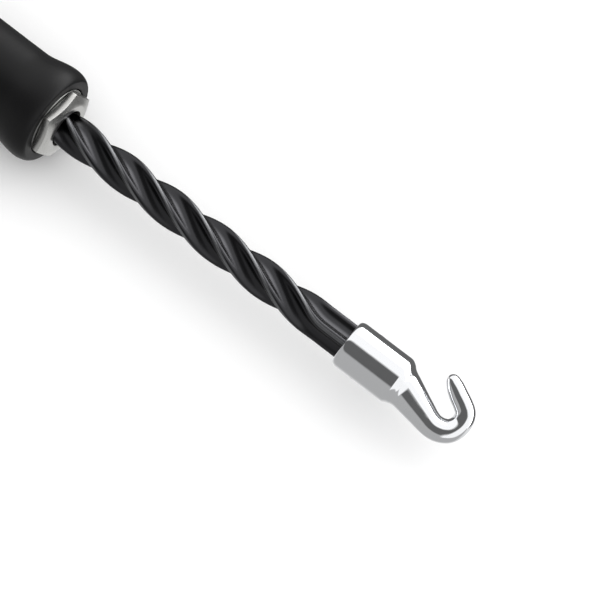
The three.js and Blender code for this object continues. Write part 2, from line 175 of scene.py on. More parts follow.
# ---- finishes ----
def moulded_soft_pvc(colour):
    """Soft PVC, dipped and moulded: near black, with a wide dull sheen and a very fine skin."""
    material, tree, shader = new_material(
        "moulded_soft_pvc", Roughness=0.45, IOR=1.5, Specular_IOR_Level=0.2
    )
    # the skin's grain is about 0.3 mm; the slow one is handling marks a centimetre across
    grain(tree, shader, 0.3, depth_mm=0.012, detail=4.0)
    marks = add_node(
        tree,
        "ShaderNodeTexNoise",
        {"Vector": add_node(tree, "ShaderNodeTexCoord").outputs["Object"],
         "Scale": 90.0, "Detail": 5.0},
    )
    vary(tree, shader.inputs["Roughness"], marks, 0.4, 0.48)
    darker = tuple(c * 0.75 for c in colour)
    blend_colours(tree, shader.inputs["Base Color"], marks.outputs["Fac"], darker, tuple(colour))
    return material


def oiled_black_oxide_steel(colour, worn_and_highlight, crest_mm):
    """Drawn steel blacked and oiled: dark mirror-like flanks, and grey crests that are partly worn
    where they rub and partly a painted highlight.
    """
    material, tree, shader = new_material("oiled_black_oxide_steel", Metallic=1.0)
    # drawing lines run along the bar, a quarter of a millimetre apart
    grain(tree, shader, 0.25, stretch=(0.03, 1, 1), depth_mm=0.006)
    where = add_node(tree, "ShaderNodeTexCoord")
    offset = add_node(
        tree,
        "ShaderNodeMapping",
        {"Vector": where.outputs["Object"], "Location": (0, 0, -AXIS_Z), "Scale": (0, 1, 1)},
    )
    radius = add_node(
        tree, "ShaderNodeVectorMath", {0: offset.outputs[0]}, operation="LENGTH"
    )
    # mask of the lobes' crests: their lighter colour is partly wear where they rub in the nut and
    # partly a painted highlight standing in for the bright line along each ridge
    crest = add_node(
        tree,
        "ShaderNodeMapRange",
        {"Value": radius.outputs["Value"], "From Min": (crest_mm - 0.12) * MM,
         "From Max": (crest_mm - 0.01) * MM},
    )
    # painted highlight mixed with wear: the crests are lighter all round, whichever way the light
    # falls
    blend_colours(
        tree, shader.inputs["Base Color"], crest.outputs[0], tuple(colour), tuple(worn_and_highlight), 0.2, 0.9
    )
    # rubbed crests are rougher than the oiled flanks, so they glow rather than mirror
    spread = add_node(
        tree,
        "ShaderNodeMapRange",
        {"Value": crest.outputs[0], "To Min": 0.28, "To Max": 0.45},
    )
    tree.links.new(spread.outputs[0], shader.inputs["Roughness"])
    return material


def polished_chrome_plate(colour):
    """Forged steel, polished and chromed: a clear mirror whose edges waver a little."""
    material, tree, shader = new_material(
        "polished_chrome_plate", Metallic=1.0, Roughness=0.07, Base_Color=(*colour, 1)
    )
    # what polishing leaves of the forging is a wave every 4 mm, a few microns deep
    waves = grain(tree, shader, 4.0, depth_mm=0.02, detail=2.0)
    vary(tree, shader.inputs["Roughness"], waves, 0.06, 0.1)
    return material


def satin_zinc_plate(name, colour, roughness=0.3):
    """Zinc-plated turned steel: pale and a little cloudy, with a soft reflection."""
    material, tree, shader = new_material(name, Metallic=1.0)
    # plating crystals are far too fine to see, so they are drawn 0.2 mm across
    clouds = grain(tree, shader, 0.2, depth_mm=0.004, detail=4.0)
    vary(tree, shader.inputs["Roughness"], clouds, roughness - 0.05, roughness + 0.06)
    duller = tuple(c * 0.88 for c in colour)
    blend_colours(tree, shader.inputs["Base Color"], clouds.outputs["Fac"], duller, tuple(colour))
    return material


def turned_metal(name, colour, roughness=0.3):
    """Metal turned on a lathe and left bare: fine rings round the axis, brighter on their tops."""
    material, tree, shader = new_material(name, Metallic=1.0)
    rings = grain(tree, shader, 0.2, stretch=(1, 0.05, 0.05), depth_mm=0.006, detail=2.0)
    vary(tree, shader.inputs["Roughness"], rings, roughness - 0.05, roughness + 0.08)
    duller = tuple(c * 0.8 for c in colour)
    blend_colours(tree, shader.inputs["Base Color"], rings.outputs["Fac"], duller, tuple(colour))
    return material


def moulded_polymer(name, colour, roughness, grain_mm):
    """Nylon or rubber from a spark-eroded mould: dark, even and slightly grained."""
    material, tree, shader = new_material(name, IOR=1.53)
    speckle = grain(tree, shader, grain_mm, depth_mm=0.015, detail=3.0)
    vary(tree, shader.inputs["Roughness"], speckle, roughness - 0.06, roughness + 0.06)
    darker = tuple(c * 0.8 for c in colour)
    blend_colours(tree, shader.inputs["Base Color"], speckle.outputs["Fac"], darker, tuple(colour))
    return material


# ---- mesh making ----
def eased(start, end, share):
    """A value that leaves start and reaches end without a corner."""
    return start + (end - start) * (1 - math.cos(math.pi * share)) / 2


def rounded(outline, steps=5):
    """An outline whose corners are arcs. Points are (x, radius, fillet), and the outline closes."""
    points = []
    for i, (x, r, fillet) in enumerate(outline):
        here = np.array([x, r])
        if not fillet:
            points.append((x, r))
            continue
        before = np.array(outline[i - 1][:2]) - here
        after = np.array(outline[(i + 1) % len(outline)][:2]) - here
        before = before / np.linalg.norm(before)
        after = after / np.linalg.norm(after)
        turn = math.pi - math.acos(max(-1, min(1, float(before @ after))))
        reach = fillet * math.tan(turn / 2)
        start, end = here + before * reach, here + after * reach
        for k in range(steps + 1):
            t = k / steps
            points.append(tuple(start * (1 - t) ** 2 + here * 2 * t * (1 - t) + end * t**2))
    return points


def circle_rings(outline, sides):
    """One ring of points for each point of an outline turned about the tool's axis."""
    angles = np.linspace(0, 2 * math.pi, sides, endpoint=False)
    return [
        np.stack([np.full(sides, x), r * np.cos(angles), r * np.sin(angles)], axis=1)
        for x, r in outline
    ]


def skin(rings, closed_loop=False):
    """Vertices and faces of a skin through rings. The ends are filled, or joined in a loop."""
    count = len(rings[0])
    points = [tuple(p) for ring in rings for p in ring]
    faces = []
    for k in range(len(rings) if closed_loop else len(rings) - 1):
        a, b = k * count, ((k + 1) % len(rings)) * count
        for i in range(count):
            j = (i + 1) % count
            faces.append((a + i, a + j, b + j, b + i))
    if not closed_loop:
        for ring, start in ((rings[0], 0), (rings[-1], (len(rings) - 1) * count)):
            points.append(tuple(np.mean(ring, axis=0)))
            middle = len(points) - 1
            faces += [(middle, start + i, start + (i + 1) % count) for i in range(count)]
    return points, faces


def make_piece(name, meshes, material, body, nodes, sharp=35):
    """A finished piece from one or more skins in millimetres, riding on a body of the frame."""
    mesh = bpy.data.meshes.new(name)
    build = bmesh.new()
    for points, faces in meshes:
        made = [build.verts.new(place(*p)) for p in points]
        for face in faces:
            build.faces.new([made[i] for i in face])
    bmesh.ops.remove_doubles(build, verts=build.verts, dist=1e-7)
    bmesh.ops.dissolve_degenerate(build, dist=1e-7, edges=build.edges)
    bmesh.ops.recalc_face_normals(build, faces=build.faces)
    build.to_mesh(mesh)
    build.free()
    mesh.shade_smooth()
    mesh.set_sharp_from_angle(angle=math.radians(sharp))
    mesh.materials.append(material)
    piece = bpy.data.objects.new(name, mesh)
    bpy.context.scene.collection.objects.link(piece)
    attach(piece, body)
    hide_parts(*nodes)
    return piece


# ---- grip ----
def grip_outline(settings):
    """The sleeve's section: nose, front bulge, waist, palm swell, rear waist and rear bulge."""
    hole = 9.8  # pushed onto the handle tube
    butt = 12.14  # where the rear bulge ends, level with the cap
    rear, front = along("grip_sleeve")
    nose, waist, palm = (
        settings.nose_radius / MM, settings.waist_radius / MM, settings.palm_radius / MM
    )
    lip = settings.lip_radius / MM
    nose_x = front - 3.8
    waist_x = nose_x - 9.2
    rear_bulge_x = rear + 6.7
    palm_x = (waist_x + rear_bulge_x) / 2 - 6.0
    rear_waist_x = rear_bulge_x + 19.0
    mouth = across("bush_washer") + GAP
    step = along("handle_tube")[1]
    outline = [(step, hole), (step, mouth), (front - 0.2, mouth), (front - 0.06, mouth + 0.06)]
    outline += [(front, mouth + 0.2), (front, lip - 0.5), (front - 0.05, lip - 0.2)]
    for i in range(1, 15):
        t = math.pi / 2 * i / 14
        outline.append((nose_x + (front - nose_x) * math.cos(t), lip + (nose - lip) * math.sin(t)))
    stations = [
        (nose_x, nose), (waist_x, waist), (palm_x, palm),
        (rear_waist_x, waist + 0.3), (rear_bulge_x, nose),
    ]
    for (from_x, from_r), (to_x, to_r) in zip(stations, stations[1:]):
        for i in range(1, 15):
            outline.append((from_x + (to_x - from_x) * i / 14, eased(from_r, to_r, i / 14)))
    for i in range(1, 9):
        t = math.pi / 2 * i / 8
        outline.append((rear_bulge_x + (rear - rear_bulge_x) * math.sin(t),
                        butt + (nose - butt) * math.cos(t)))
    return outline + [(rear, hole + 0.3), (rear + 0.3, hole)]


class GripSettings(bpy.types.PropertyGroup):
    nose_radius: FloatProperty(
        name="Nose radius", description="Fullest radius of the sleeve's bulges",
        default=0.01367, min=0.01, max=0.02, unit="LENGTH", subtype="DISTANCE")
    waist_radius: FloatProperty(
        name="Waist radius", description="Radius between the front bulge and the palm swell",
        default=0.01232, min=0.01, max=0.02, unit="LENGTH", subtype="DISTANCE")
    palm_radius: FloatProperty(
        name="Palm radius", description="Radius of the swell in the palm",
        default=0.01302, min=0.01, max=0.02, unit="LENGTH", subtype="DISTANCE")
    lip_radius: FloatProperty(
        name="Lip radius", description="Outside of the flat ring at the nose",
        default=0.01192, min=0.01, max=0.02, unit="LENGTH", subtype="DISTANCE")
    colour: FloatVectorProperty(
        name="Grip colour", description="Colour of the soft PVC",
        default=linear("#101011"), size=3, min=0, max=1, subtype="COLOR")


class TWISTER_OT_grip(bpy.types.Operator):
    """Build the soft grip sleeve"""

    bl_idname = "twister.grip"
    bl_label = "Grip"

    def execute(self, context):
        settings = context.scene.twister_grip
        rings = circle_rings(grip_outline(settings), 128)
        make_piece(
            "soft_grip", [skin(rings, closed_loop=True)], moulded_soft_pvc(settings.colour),
            "handle", ["grip_sleeve"])
        return {"FINISHED"}


# ---- hexagon and washer ----
def hexagon_outline(flats, corner_fillet, flat_steps=8, corner_steps=4):
    """Polar points (angle, radius) round a hexagon with flats up and down and softened corners."""
    half = flats / 2
    polar = []
    for side in range(6):
        middle = math.pi / 2 + side * math.pi / 3
        reach = half * math.tan(math.pi / 6) - corner_fillet * math.tan(math.pi / 6)
        for i in range(flat_steps + 1):
            u = -reach + 2 * reach * i / flat_steps
            polar.append((middle + math.atan2(u, half), math.hypot(u, half)))
        corner = middle + math.pi / 6
        centre = (half - corner_fillet) / math.cos(math.pi / 6)
        for i in range(1, corner_steps):
            a = -math.pi / 6 + math.pi / 3 * i / corner_steps
            u = centre + corner_fillet * math.cos(a)
            v = corner_fillet * math.sin(a)
            polar.append((corner + math.atan2(v, u), math.hypot(u, v)))
    return polar


class BushSettings(bpy.types.PropertyGroup):
    flats: FloatProperty(
        name="Across flats", description="Spanner size of the hexagon",
        default=0.018, min=0.01, max=0.03, unit="LENGTH", subtype="DISTANCE")
    bore_radius: FloatProperty(
        name="Bore radius", description="Hole that the shaft runs through",
        default=0.0054, min=0.004, max=0.007, unit="LENGTH", subtype="DISTANCE")
    face_radius: FloatProperty(
        name="Face radius", description="Flat part of the face, inside the cone",
        default=0.007, min=0.0055, max=0.009, unit="LENGTH", subtype="DISTANCE")
    cone_slope: FloatProperty(
        name="Cone slope", description="How far the cone falls back for each step outward",
        default=0.36, min=0, max=1)
    colour: FloatVectorProperty(
        name="Zinc colour", description="Colour of the zinc plate",
        default=linear("#cdcdca"), size=3, min=0, max=1, subtype="COLOR")


class TWISTER_OT_bush(bpy.types.Operator):
    """Build the hexagonal end bush and the washer behind it"""

    bl_idname = "twister.bush"
    bl_label = "Hexagon and Washer"

    def execute(self, context):
        settings = context.scene.twister_bush
        zinc = satin_zinc_plate("satin_zinc_plate", settings.colour)
        rear, front = along("hex_end_bush")
        hex_rear = along("bush_washer")[1] + GAP
        shank = 7.65  # screwed into the handle tube
        bore = settings.bore_radius / MM
        face = settings.face_radius / MM
        polar = hexagon_outline(settings.flats / MM, 0.35)
        angles = np.array([a for a, _ in polar])
        edge = np.array([r for _, r in polar])

        def ring(x, r):
            x = np.broadcast_to(x, angles.shape)
            return np.stack([x, r * np.cos(angles), r * np.sin(angles)], axis=1)

        def fall(r):
            return front - settings.cone_slope * np.maximum(0, r - face)

        rings = [ring(rear, bore), ring(front - 0.2, bore)]
        rings += [ring(front - 0.06, bore + 0.05), ring(front, bore + 0.2)]
        rings += [ring(front, face - 0.1), ring(front - 0.012, face + 0.1)]
        for share in (0.35, 0.7, 0.9):
            r = face + (edge - face) * share
            rings.append(ring(fall(r), r))
        soft = 0.14  # the edge between cone and flats is broken, not sharp
        for step in range(5):
            t = step / 4
            r = edge - soft * (1 - t) ** 2
            rings.append(ring(fall(edge - soft) - soft * t**2 * 1.2, r))
        rings += [ring(hex_rear + 0.15, edge), ring(hex_rear + 0.04, edge - 0.05)]
        rings += [ring(hex_rear, edge - 0.2), ring(hex_rear, shank), ring(rear + 0.3, shank)]
        rings.append(ring(rear, shank - 0.3))
        make_piece(
            "hexagon_bush", [skin(rings, closed_loop=True)], zinc,
            "handle", ["hex_end_bush"], sharp=28)

        back, fore = along("bush_washer")
        outer = across("bush_washer")
        hole = 8.0
        outline = rounded(
            [(back, hole, 0), (back, outer, 0.2), (fore, outer, 0.2), (fore, hole, 0)])
        make_piece(
            "face_washer", [skin(circle_rings(outline, 96), closed_loop=True)],
            turned_metal("turned_zinc_washer", linear("#a4a5a3"), 0.5),
            "handle", ["bush_washer"])
        return {"FINISHED"}


# ---- shaft ----
def lobed_section(lobe_radius, over_radius, flute_radius, lobes=4):
    """Polar points of the rolled section: round lobes joined by hollow flutes."""
    middle = over_radius - lobe_radius
    half = math.pi / lobes
    offset = flute_radius - lobe_radius
    k = middle * math.cos(half)
    hollow = (middle**2 - offset**2) / (2 * (k - offset))
    hollow_r = hollow - flute_radius
    towards = math.atan2(hollow * math.sin(half), hollow * math.cos(half) - middle)
    sweep = towards - half
    points = []
    for lobe in range(lobes):
        turn = 2 * half * lobe
        for i in range(-5, 6):
            a = turn + towards * i / 5
            points.append((middle * math.cos(turn) + lobe_radius * math.cos(a),
                           middle * math.sin(turn) + lobe_radius * math.sin(a)))
        for i in range(4, -5, -1):
            a = turn + half + math.pi + sweep * i / 5
            points.append((hollow * math.cos(turn + half) + hollow_r * math.cos(a),
                           hollow * math.sin(turn + half) + hollow_r * math.sin(a)))
    return [(math.atan2(z, y), math.hypot(y, z)) for y, z in points]


class ShaftSettings(bpy.types.PropertyGroup):
    lead: FloatProperty(
        name="Lead", description="Advance along the shaft for one turn of a lobe",
        default=0.0602, min=0.02, max=0.2, unit="LENGTH", subtype="DISTANCE")
    over_lobes: FloatProperty(
        name="Radius over lobes", description="From the axis to the crest of a lobe",
        default=0.005, min=0.003, max=0.0052, unit="LENGTH", subtype="DISTANCE")
    lobe_radius: FloatProperty(
        name="Lobe rounding", description="Radius of a lobe's crest",
        default=0.0011, min=0.0005, max=0.002, unit="LENGTH", subtype="DISTANCE")
    flute_bottom: FloatProperty(
        name="Flute bottom", description="From the axis to the bottom of a flute",
        default=0.00275, min=0.002, max=0.004, unit="LENGTH", subtype="DISTANCE")
    colour: FloatVectorProperty(
        name="Oxide colour", description="Colour of the oiled black oxide",
        default=linear("#3c3c3e"), size=3, min=0, max=1, subtype="COLOR")
    # the crests' colour is partly wear where they rub in the nut and partly a painted highlight
    worn_and_highlight_colour: FloatVectorProperty(
        name="Worn and highlight colour", description="Colour of the crests, worn where they rub in the nut and lightened as a painted highlight",
        default=linear("#808183"), size=3, min=0, max=1, subtype="COLOR")


TWIST_END = 83.3  # the lobes run straight from here to the hook
LOBE_ANGLE = 123.4  # of one straight lobe, in degrees from across towards up


class TWISTER_OT_shaft(bpy.types.Operator):
    """Build the twisted shaft with its plain rear journal"""

    bl_idname = "twister.shaft"
    bl_label = "Twisted Shaft"

    def execute(self, context):
        settings = context.scene.twister_shaft
        lead = settings.lead / MM
        section = lobed_section(
            settings.lobe_radius / MM, settings.over_lobes / MM, settings.flute_bottom / MM)
        base = np.array([a for a, _ in section])
        radius = np.array([r for _, r in section])
        rear, front = along("spiral_shaft")
        lobes_from = along("follower_piston")[1] + 1.5

        def ring(x, r):
            # the twist dies away over the last few millimetres before the straight end
            short = TWIST_END - x
            ease = 3.0  # half of the stretch over which it dies away
            if short > ease:
                twisted = short
            elif short > -ease:
                twisted = (short + ease) ** 2 / (4 * ease)
            else:
                twisted = 0.0
            angle = base + math.radians(LOBE_ANGLE) - 2 * math.pi * twisted / lead
            return np.stack([np.full(len(base), x), r * np.cos(angle), r * np.sin(angle)], axis=1)

        journal = np.full(len(base), 3.0)  # the plain rear end's radius
        rings = [ring(rear, journal - 0.5), ring(rear + 0.15, journal - 0.15)]
        rings += [ring(rear + 0.5, journal), ring(lobes_from - 0.1, journal)]
        rings.append(ring(lobes_from, np.minimum(radius, 3.4)))
        steps = int((front - lobes_from - 0.8) / 0.55)
        for i in range(steps + 1):
            rings.append(ring(lobes_from + 0.8 + (front - lobes_from - 0.8) * i / steps, radius))
        make_piece(
            "twisted_shaft", [skin(rings)],
            oiled_black_oxide_steel(
                settings.colour, settings.worn_and_highlight_colour, settings.over_lobes / MM),
            "spindle", ["spiral_shaft"], sharp=50)
        return {"FINISHED"}


# ---- hook ----
# the middle of the hook's round bar: (along the tool, towards the mouth, bar radius)
HOOK_PATH = (
    (105.9, 0.6, 5.7), (109.7, -0.25, 5.1), (112.5, -1.06, 4.63), (115.5, -1.98, 4.13),
    (118.05, -2.72, 3.73), (120.1, -3.33, 3.42), (122.0, -3.66, 3.26), (123.7, -3.5, 3.18),
    (125.15, -2.95, 3.08), (126.5, -1.85, 2.95), (127.4, 0.5, 2.7), (127.3, 2.5, 2.62),
    (126.55, 3.95, 2.55), (125.15, 5.0, 2.5), (122.85, 6.25, 2.42), (121.0, 7.4, 2.2),
    (119.65, 8.3, 1.75),
)
HOOK_ANGLE = math.radians(23.4)  # direction of the mouth, from across towards up


def smooth_path(points, per_span=14):
    """A centripetal Catmull-Rom curve through the points, as rows of the same kind."""
    rows = np.array(points, float)
    ends = [2 * rows[0] - rows[1], *rows, 2 * rows[-1] - rows[-2]]
    made = []
    for p0, p1, p2, p3 in zip(ends, ends[1:], ends[2:], ends[3:]):
        t = [0.0]
        for a, b in ((p0, p1), (p1, p2), (p2, p3)):
            t.append(t[-1] + np.linalg.norm(b[:2] - a[:2]) ** 0.5)
        for s in np.linspace(t[1], t[2], per_span, endpoint=False):
            a1 = (t[1] - s) / (t[1] - t[0]) * p0 + (s - t[0]) / (t[1] - t[0]) * p1
            a2 = (t[2] - s) / (t[2] - t[1]) * p1 + (s - t[1]) / (t[2] - t[1]) * p2
            a3 = (t[3] - s) / (t[3] - t[2]) * p2 + (s - t[2]) / (t[3] - t[2]) * p3
            b1 = (t[2] - s) / (t[2] - t[0]) * a1 + (s - t[0]) / (t[2] - t[0]) * a2
            b2 = (t[3] - s) / (t[3] - t[1]) * a2 + (s - t[1]) / (t[3] - t[1]) * a3
            made.append((t[2] - s) / (t[2] - t[1]) * b1 + (s - t[1]) / (t[2] - t[1]) * b2)
    return np.array([*made, rows[-1]])


class HookSettings(bpy.types.PropertyGroup):
    socket_radius: FloatProperty(
        name="Socket radius", description="Outside of the socket that holds the shaft",
        default=0.0066, min=0.0056, max=0.009, unit="LENGTH", subtype="DISTANCE")
    shoulder: FloatProperty(
        name="Shoulder rounding", description="Rounding of the socket's front edge",
        default=0.0014, min=0.0005, max=0.003, unit="LENGTH", subtype="DISTANCE")
    blend: FloatProperty(
        name="Arm blend", description="How softly the socket flows into the arm",
        default=0.0024, min=0.0001, max=0.003, unit="LENGTH", subtype="DISTANCE")
    colour: FloatVectorProperty(
        name="Chrome colour", description="Colour of the chrome plate",
        default=linear("#ebecee"), size=3, min=0, max=1, subtype="COLOR")


def hook_rings(settings, sides=72):
    """Rings of the hook in its own plane, before it is turned to its mouth's direction."""
    radius = settings.socket_radius / MM
    shoulder = settings.shoulder / MM
    softness = settings.blend / MM
    rear = along("hook")[0]
    socket_front = rear + SOCKET_LENGTH
    path = smooth_path(HOOK_PATH)

    def distance(points):
        """How far points are outside the hook: the socket and the bar, joined softly."""
        flat = np.hypot(points[:, 1], points[:, 2])
        half = (socket_front + 20 - rear) / 2
        qx = np.abs(points[:, 0] - (socket_front - half)) - half + shoulder
        qr = flat - radius + shoulder
        outside = np.hypot(np.maximum(qx, 0), np.maximum(qr, 0))
        socket = outside + np.minimum(np.maximum(qx, qr), 0) - shoulder
        centres = np.stack([path[:, 0], path[:, 1], np.zeros(len(path))], axis=1)
        gaps = np.linalg.norm(points[:, None, :] - centres[None], axis=2) - path[None, :, 2]
        bar = gaps.min(axis=1)
        # the joint is soft only ahead of the shoulder, so the socket stays a true cylinder
        soft = softness * np.clip((points[:, 0] - socket_front + 2.2) / 2.8, 0.02, 1)
        share = np.clip(0.5 + 0.5 * (bar - socket) / soft, 0, 1)
        return bar * (1 - share) + socket * share - soft * share * (1 - share)

    def ring(centre, tangent, reach):
        """Where rays from the centre, square to the tangent, leave the hook."""
        side = np.array([-tangent[1], tangent[0], 0])
        up = np.array([0, 0, 1.0])
        angles = np.linspace(0, 2 * math.pi, sides, endpoint=False)
        rays = np.cos(angles)[:, None] * side + np.sin(angles)[:, None] * up
        low, high = np.zeros(sides), np.zeros(sides)
        open_ends = np.ones(sides, bool)
        for step in np.linspace(0.15, 1, 18) * reach:
            outside = distance(centre + rays * step) > 0
            high = np.where(open_ends & outside, step, high)
            low = np.where(open_ends & ~outside, step, low)
            open_ends &= ~outside
        high = np.where(open_ends, reach, high)
        for _ in range(18):
            middle = (low + high) / 2
            outside = distance(centre + rays * middle[:, None]) > 0
            high = np.where(outside, middle, high)
            low = np.where(outside, low, middle)
        return centre + rays * low[:, None]

    # the bore, its mouth and the rounded rear rim are turned
    bore, deep = 5.3, rear + 12.3
    rim, rim_r = 1.7, 5.55
    turned = [(deep, bore), (rear + 0.25, bore), (rear + 0.06, bore + 0.06), (rear, bore + 0.2)]
    for i in range(9):
        t = math.pi / 2 * i / 8
        turned.append((rear + rim * (1 - math.cos(t)), rim_r + (radius - rim_r) * math.sin(t)))
    rings = circle_rings(turned, sides)

    # then sections follow a spine that leaves the axis for the bar's middle
    straight_end = 103.5
    spine = [(x, 0.0) for x in np.linspace(rear + rim + 0.6, straight_end, 9)]
    spine += [(x, y) for x, y, _ in smooth_path(
        [(straight_end, 0.0, 0), (106.5, 0.0, 0), (109.4, -0.35, 0), *HOOK_PATH[2:]], 9)[1:]]
    spine = np.array(spine)
    slopes = np.gradient(spine, axis=0)
    slopes /= np.linalg.norm(slopes, axis=1)[:, None]
    # about the shoulder the sections stay square to the axis, so that its edge is followed
    for i, (x, _) in enumerate(spine):
        share = min(1, max(0, (x - 110.5) / 3.5)) if i < len(spine) // 2 else 1
        slopes[i] = slopes[i] * share + np.array([1.0, 0.0]) * (1 - share)
        slopes[i] /= np.linalg.norm(slopes[i])
    extra = []
    for k in range(len(spine) - 1):
        extra.append((spine[k], slopes[k]))
        if 105.5 < spine[k][0] < 112.5 and k < len(spine) // 2:
            extra.append(((spine[k] + spine[k + 1]) / 2, slopes[k] + slopes[k + 1]))
    extra.append((spine[-1], slopes[-1]))
    for point, slope in extra:
        slope = slope / np.linalg.norm(slope)
        centre = np.array([point[0], point[1], 0.0])
        reach = 8.5 if point[0] < 112 else 5.2
        rings.append(ring(centre, np.array([slope[0], slope[1], 0.0]), reach))
    # the round tip
    tip_r = HOOK_PATH[-1][2]
    last, slope = spine[-1], slopes[-1]
    for angle in (20, 40, 58, 74, 85):
        push = tip_r * math.sin(math.radians(angle))
        centre = np.array([*(last + slope * push), 0.0])
        side = np.array([-slope[1], slope[0], 0])
        turns = np.linspace(0, 2 * math.pi, sides, endpoint=False)
        reach = tip_r * math.cos(math.radians(angle))
        up = np.array([0, 0, 1.0])
        rings.append(centre + reach * (
            np.cos(turns)[:, None] * side + np.sin(turns)[:, None] * up))
    return rings


def turned_to_mouth(rings):
    """Turns rings about the tool's axis into the plane of the hook's mouth."""
    c, s = math.cos(HOOK_ANGLE), math.sin(HOOK_ANGLE)
    spin = np.array([[1, 0, 0], [0, c, -s], [0, s, c]])
    return [ring @ spin.T for ring in rings]


class TWISTER_OT_hook(bpy.types.Operator):
    """Build the chromed hook and the pin through its socket"""

    bl_idname = "twister.hook"
    bl_label = "Hook and Pin"

    def execute(self, context):
        settings = context.scene.twister_hook
        chrome = polished_chrome_plate(settings.colour)
        rings = turned_to_mouth(hook_rings(settings))
        make_piece(
            "chromed_hook", [skin(rings)], chrome, "spindle", ["hook"], sharp=50)
        middle = sum(along("hook_pin")) / 2
        reach = settings.socket_radius / MM
        turns = np.linspace(0, 2 * math.pi, 32, endpoint=False)
        profile = [(-reach - 0.01, 0.5), (-reach + 0.03, 0.95), (-reach + 0.2, 1.25)]
        profile += [(reach - 0.2, 1.25), (reach - 0.03, 0.95), (reach + 0.01, 0.5)]
        pin = [
            np.stack([middle + r * np.cos(turns), np.full(32, u), r * np.sin(turns)], axis=1)
            for u, r in profile
        ]
        make_piece(
            "peened_pin", [skin(turned_to_mouth(pin))], chrome,
            "spindle", ["hook_pin"])
        return {"FINISHED"}


# ---- spring, end cap and what lies inside ----
class RearSettings(bpy.types.PropertyGroup):
    cap_colour: FloatVectorProperty(
        name="Cap colour", description="Colour of the nylon end cap",
        default=linear("#1b1b1c"), size=3, min=0, max=1, subtype="COLOR")
    edge: FloatProperty(
        name="Cap edge", description="Rounding of the end cap's rear edge",
        default=0.0014, min=0.0002, max=0.003, unit="LENGTH", subtype="DISTANCE")


class TWISTER_OT_rear_end(bpy.types.Operator):
    """Build the end cap that closes the rear of the grip"""

    bl_idname = "twister.rear_end"
    bl_label = "End Cap"

    def execute(self, context):
        settings = context.scene.twister_rear
        nylon = moulded_polymer("moulded_black_nylon", settings.cap_colour, 0.5, 0.35)
        rear, front = along("end_cap")
        edge = settings.edge / MM
        outer = across("end_cap")
        outline = rounded([
            (front, 1.8, 0), (front, outer, 0.3), (rear, outer, edge), (rear, 9.2, 0.1),
            (rear + 0.35, 9.0, 0.1), (rear + 0.35, 8.6, 0.1), (rear, 8.4, 0.1),
            (rear, 3.3, 0.25), (rear + 1.9, 3.3, 0), (rear + 1.9, 1.8, 0),
        ])
        make_piece(
            "moulded_end_cap", [skin(circle_rings(outline, 96), closed_loop=True)], nylon,
            "handle", ["end_cap"])
        return {"FINISHED"}


class SpringSettings(bpy.types.PropertyGroup):
    coils: FloatProperty(
        name="Coils", description="Turns of the return spring", default=14, min=4, max=60)
    wire_radius: FloatProperty(
        name="Wire radius", description="Radius of the spring's wire",
        default=0.0006, min=0.0003, max=0.0012, unit="LENGTH", subtype="DISTANCE")
    colour: FloatVectorProperty(
        name="Spring colour", description="Colour of the drawn spring wire",
        default=linear("#85898d"), size=3, min=0, max=1, subtype="COLOR")


class TWISTER_OT_spring(bpy.types.Operator):
    """Build the return spring at one length; on the tool it shortens as the shaft is drawn out"""

    bl_idname = "twister.spring"
    bl_label = "Return Spring"

    def execute(self, context):
        settings = context.scene.twister_spring
        rear, front = along("return_spring")
        wire = settings.wire_radius / MM
        coil = 7.7 - wire  # the spring's outside clears the handle tube's bore
        steps = int(settings.coils * 36)
        turns = np.linspace(0, 2 * math.pi, 12, endpoint=False)
        rings = []
        for i in range(steps + 1):
            share = i / steps
            # end coils lie closer, as ground spring ends do
            x = rear + wire + (front - rear - 2 * wire) * (
                share - 0.022 * math.sin(2 * math.pi * share))
            a = share * settings.coils * 2 * math.pi
            outward = np.array([0, math.cos(a), math.sin(a)])
            centre = np.array([x, 0, 0]) + outward * coil
            rings.append(centre + wire * (
                np.cos(turns)[:, None] * outward + np.sin(turns)[:, None] * np.array([1.0, 0, 0])))
        piece = make_piece(
            "coiled_return_spring", [skin(rings)],
            turned_metal("drawn_spring_wire", settings.colour, 0.3),
            "handle", ["return_spring"])
        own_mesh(piece)
        return {"FINISHED"}


class InsideSettings(bpy.types.PropertyGroup):
    steel_colour: FloatVectorProperty(
        name="Steel colour", description="Colour of the bare turned steel",
        default=linear("#a7a9ab"), size=3, min=0, max=1, subtype="COLOR")
    bronze_colour: FloatVectorProperty(
        name="Bronze colour", description="Colour of the thrust washer",
        default=linear("#a97f45"), size=3, min=0, max=1, subtype="COLOR")


class TWISTER_OT_inside(bpy.types.Operator):
    """Give the CAD pieces inside the handle, and the cap's screw, their real finishes"""

    bl_idname = "twister.inside"
    bl_label = "Inner Pieces"

    def execute(self, context):
        settings = context.scene.twister_inside
        steel = turned_metal("bare_turned_steel", settings.steel_colour, 0.32)
        bronze = turned_metal("turned_bearing_bronze", settings.bronze_colour, 0.35)
        zinc = satin_zinc_plate("zinc_plated_fastener", linear("#c6c7c4"))
        blacked = turned_metal("blacked_grub_screw", linear("#4a4a4c"), 0.35)
        nylon = moulded_polymer("moulded_nylon_piston", linear("#232324"), 0.5, 0.3)
        rubber = moulded_polymer("moulded_buffer_rubber", linear("#232323"), 0.8, 0.4)
        finishes = {
            "handle_tube": steel, "drive_nut": steel, "spring_front_seat": steel,
            "end_plug": steel, "drive_nut_screw_left": blacked, "drive_nut_screw_right": blacked,
            "rear_buffer": rubber, "end_cap_screw": zinc, "follower_piston": nylon,
            "thrust_washer": bronze, "shaft_end_washer": zinc, "shaft_end_nut": zinc,
        }
        for node, material in finishes.items():
            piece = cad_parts[node]
            piece.data.materials.clear()
            piece.data.materials.append(material)
        return {"FINISHED"}


